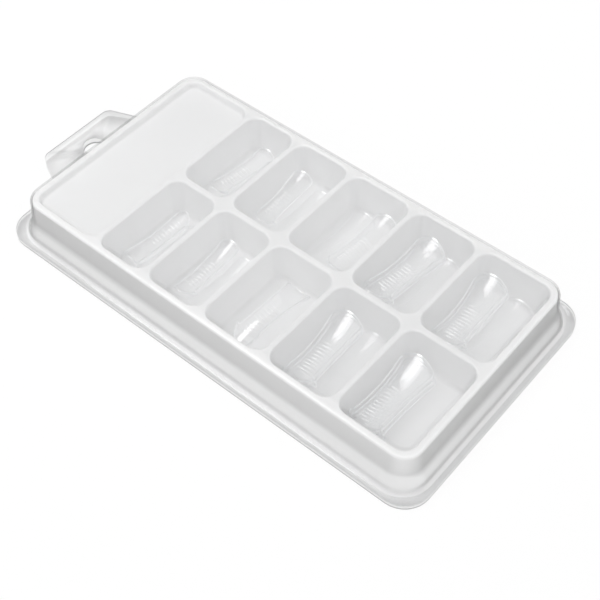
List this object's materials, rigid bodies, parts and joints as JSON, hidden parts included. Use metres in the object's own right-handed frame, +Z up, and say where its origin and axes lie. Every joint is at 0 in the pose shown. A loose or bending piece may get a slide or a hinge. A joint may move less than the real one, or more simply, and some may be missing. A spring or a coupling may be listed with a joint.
{
  "type": "lidded tray of nail forms",
  "caption": "Shallow pressed tray with graded pockets, a label recess and a hanging tab, closed by a clear lift-off lid and holding loose clear saddle-shaped nail forms.",
  "frame": {"origin": "middle of the bounding box on the surface that the tray stands on", "axes": "+X along the tray away from the hanging tab, +Y across it towards the far row of pockets, +Z up"},
  "size_m": [0.1832, 0.0928, 0.0158],
  "materials": {
    "tray": "milky white pressed sheet",
    "lid": "clear pressed sheet",
    "form": "clear moulded"
  },
  "bodies": {
    "tray": {"tray_frame": "tray", "tray_tab": "tray", "pocket_a1": "tray", "pocket_a2": "tray", "pocket_a3": "tray", "pocket_a4": "tray", "pocket_a5": "tray", "pocket_b1": "tray", "pocket_b2": "tray", "pocket_b3": "tray", "pocket_b4": "tray", "pocket_b5": "tray"},
    "lid": {"lid_wall": "lid", "lid_top": "lid", "lid_tab": "lid"},
    "form_a1_top": {"form_a1_top": "form"},
    "form_a1_low": {"form_a1_low": "form"},
    "form_a2_top": {"form_a2_top": "form"},
    "form_a2_low": {"form_a2_low": "form"},
    "form_a3_top": {"form_a3_top": "form"},
    "form_a3_low": {"form_a3_low": "form"},
    "form_a4_top": {"form_a4_top": "form"},
    "form_a4_mid": {"form_a4_mid": "form"},
    "form_a4_low": {"form_a4_low": "form"},
    "form_a5_top": {"form_a5_top": "form"},
    "form_a5_mid": {"form_a5_mid": "form"},
    "form_a5_low": {"form_a5_low": "form"},
    "form_b1_top": {"form_b1_top": "form"},
    "form_b1_low": {"form_b1_low": "form"},
    "form_b2_top": {"form_b2_top": "form"},
    "form_b2_low": {"form_b2_low": "form"},
    "form_b3_back": {"form_b3_back": "form"},
    "form_b4_top": {"form_b4_top": "form"},
    "form_b4_mid": {"form_b4_mid": "form"},
    "form_b4_low": {"form_b4_low": "form"},
    "form_b5_top": {"form_b5_top": "form"},
    "form_b5_mid": {"form_b5_mid": "form"},
    "form_b5_base": {"form_b5_base": "form"}
  },
  "joints": [
    {"name": "lid_lift", "type": "slide", "parent": "tray", "child": "lid", "axis": [0, 0, 1], "range_m": [0, 0.05]},
    {"name": "form_a1_low_rise", "type": "slide", "parent": "tray", "child": "form_a1_low", "axis": [0, 0, 1], "range_m": [0, 0.0029]},
    {"name": "form_a1_top_rise", "type": "slide", "parent": "form_a1_low", "child": "form_a1_top", "axis": [0, 0, 1], "range_m": [0, 0.0029]},
    {"name": "form_a2_low_rise", "type": "slide", "parent": "tray", "child": "form_a2_low", "axis": [0, 0, 1], "range_m": [0, 0.00285]},
    {"name": "form_a2_top_rise", "type": "slide", "parent": "form_a2_low", "child": "form_a2_top", "axis": [0, 0, 1], "range_m": [0, 0.00285]},
    {"name": "form_a3_low_rise", "type": "slide", "parent": "tray", "child": "form_a3_low", "axis": [0, 0, 1], "range_m": [0, 0.0025]},
    {"name": "form_a3_top_rise", "type": "slide", "parent": "form_a3_low", "child": "form_a3_top", "axis": [0, 0, 1], "range_m": [0, 0.0025]},
    {"name": "form_a4_low_rise", "type": "slide", "parent": "tray", "child": "form_a4_low", "axis": [0, 0, 1], "range_m": [0, 0.00095]},
    {"name": "form_a4_mid_rise", "type": "slide", "parent": "form_a4_low", "child": "form_a4_mid", "axis": [0, 0, 1], "range_m": [0, 0.00095]},
    {"name": "form_a4_top_rise", "type": "slide", "parent": "form_a4_mid", "child": "form_a4_top", "axis": [0, 0, 1], "range_m": [0, 0.00095]},
    {"name": "form_a5_low_rise", "type": "slide", "parent": "tray", "child": "form_a5_low", "axis": [0, 0, 1], "range_m": [0, 0.00085]},
    {"name": "form_a5_mid_rise", "type": "slide", "parent": "form_a5_low", "child": "form_a5_mid", "axis": [0, 0, 1], "range_m": [0, 0.00085]},
    {"name": "form_a5_top_rise", "type": "slide", "parent": "form_a5_mid", "child": "form_a5_top", "axis": [0, 0, 1], "range_m": [0, 0.00085]},
    {"name": "form_b1_low_rise", "type": "slide", "parent": "tray", "child": "form_b1_low", "axis": [0, 0, 1], "range_m": [0, 0.00295]},
    {"name": "form_b1_top_rise", "type": "slide", "parent": "form_b1_low", "child": "form_b1_top", "axis": [0, 0, 1], "range_m": [0, 0.00295]},
    {"name": "form_b2_low_rise", "type": "slide", "parent": "tray", "child": "form_b2_low", "axis": [0, 0, 1], "range_m": [0, 0.0032]},
    {"name": "form_b2_top_rise", "type": "slide", "parent": "form_b2_low", "child": "form_b2_top", "axis": [0, 0, 1], "range_m": [0, 0.0032]},
    {"name": "form_b3_back_rise", "type": "slide", "parent": "tray", "child": "form_b3_back", "axis": [0, 0, 1], "range_m": [0, 0.0081]},
    {"name": "form_b4_low_rise", "type": "slide", "parent": "tray", "child": "form_b4_low", "axis": [0, 0, 1], "range_m": [0, 0.001]},
    {"name": "form_b4_mid_rise", "type": "slide", "parent": "form_b4_low", "child": "form_b4_mid", "axis": [0, 0, 1], "range_m": [0, 0.001]},
    {"name": "form_b4_top_rise", "type": "slide", "parent": "form_b4_mid", "child": "form_b4_top", "axis": [0, 0, 1], "range_m": [0, 0.001]},
    {"name": "form_b5_base_rise", "type": "slide", "parent": "tray", "child": "form_b5_base", "axis": [0, 0, 1], "range_m": [0, 0.001]},
    {"name": "form_b5_mid_rise", "type": "slide", "parent": "form_b5_base", "child": "form_b5_mid", "axis": [0, 0, 1], "range_m": [0, 0.001]},
    {"name": "form_b5_top_rise", "type": "slide", "parent": "form_b5_mid", "child": "form_b5_top", "axis": [0, 0, 1], "range_m": [0, 0.001]}
  ]
}
